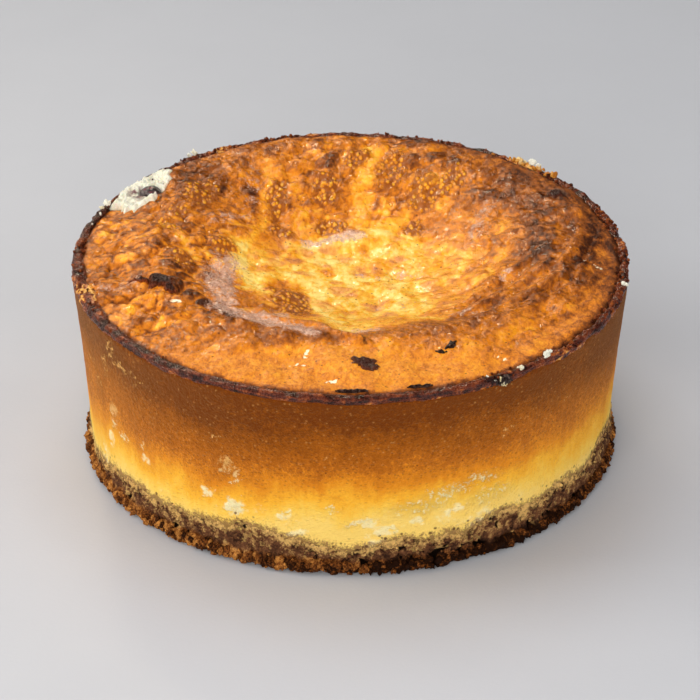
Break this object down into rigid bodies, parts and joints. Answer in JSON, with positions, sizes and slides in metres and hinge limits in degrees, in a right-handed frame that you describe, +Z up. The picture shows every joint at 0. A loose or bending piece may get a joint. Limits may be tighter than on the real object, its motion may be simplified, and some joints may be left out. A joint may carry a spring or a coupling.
{
  "type": "baked cheesecake",
  "caption": "Whole round baked cheesecake with a sunken browned top, a crumbly dark rim and a biscuit base, as it comes out of a springform tin",
  "frame": {"origin": "Middle of the flat underside of the biscuit base, at the centre of the lip's outline.", "axes": "+Z up out of the browned top, -Y towards the front that the picture shows, +X to the right."},
  "size_m": [0.2026, 0.2026, 0.0784],
  "materials": {
    "custard": "baked cheese filling: caramel brown above, pale cream low on the wall, glossy browned skin on top",
    "biscuit": "pressed biscuit crumb, coarse and matte",
    "berry": "shrivelled dark berry skin, half matte"
  },
  "bodies": {
    "root": {"baked_filling": "custard", "biscuit_base": "biscuit", "dark_berry": "berry"}
  },
  "joints": []
}
